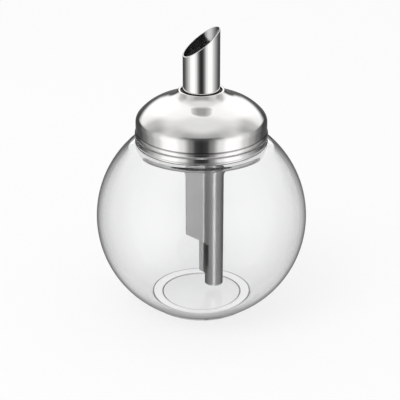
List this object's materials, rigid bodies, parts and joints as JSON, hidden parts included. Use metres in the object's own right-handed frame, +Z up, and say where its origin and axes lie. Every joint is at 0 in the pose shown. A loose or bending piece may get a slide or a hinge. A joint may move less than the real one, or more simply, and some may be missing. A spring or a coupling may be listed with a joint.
{
  "type": "sugar dispenser",
  "caption": "Glass ball sugar dispenser with a steel screw lid, a slanted spout, a dosing channel and a gravity flap.",
  "frame": {"origin": "middle of the foot, on the table", "axes": "+Z up along the axis of the ball, lid and spout; +X towards the tip of the spout, the side that the sugar pours over"},
  "size_m": [0.095, 0.095, 0.1302],
  "materials": {
    "clear_glass": "clear, thick base, fire polished",
    "lid_steel": "spun and polished to a soft mirror",
    "spout_steel": "polished",
    "inner_steel": "satin",
    "channel_steel": "satin sheet",
    "pin_steel": "bright wire",
    "ring_plastic": "natural white, satin",
    "seal_rubber": "soft, matt, off-white",
    "flap_plastic": "black, satin"
  },
  "bodies": {
    "jar": {"glass_jar": "clear_glass"},
    "seal": {"lid_seal": "seal_rubber"},
    "lid": {"lid_shell": "lid_steel", "thread_ring": "ring_plastic", "spout_tube": "spout_steel", "inner_funnel": "inner_steel", "dosing_channel": "channel_steel", "flap_pin": "pin_steel"},
    "flap": {"flap": "flap_plastic"}
  },
  "joints": [
    {"name": "lid_lift", "type": "slide", "parent": "jar", "child": "seal", "axis": [0, 0, 1], "range_m": [0, 0.1]},
    {"name": "lid_turn", "type": "hinge", "parent": "seal", "child": "lid", "pos_m": [0, 0, 0.0855], "axis": [0, 0, 1], "range_deg": [0, 360]},
    {"name": "flap_swing", "type": "hinge", "parent": "lid", "child": "flap", "pos_m": [-0.0056, 0, 0.1143], "axis": [0, -1, 0], "range_deg": [0, 50]}
  ]
}
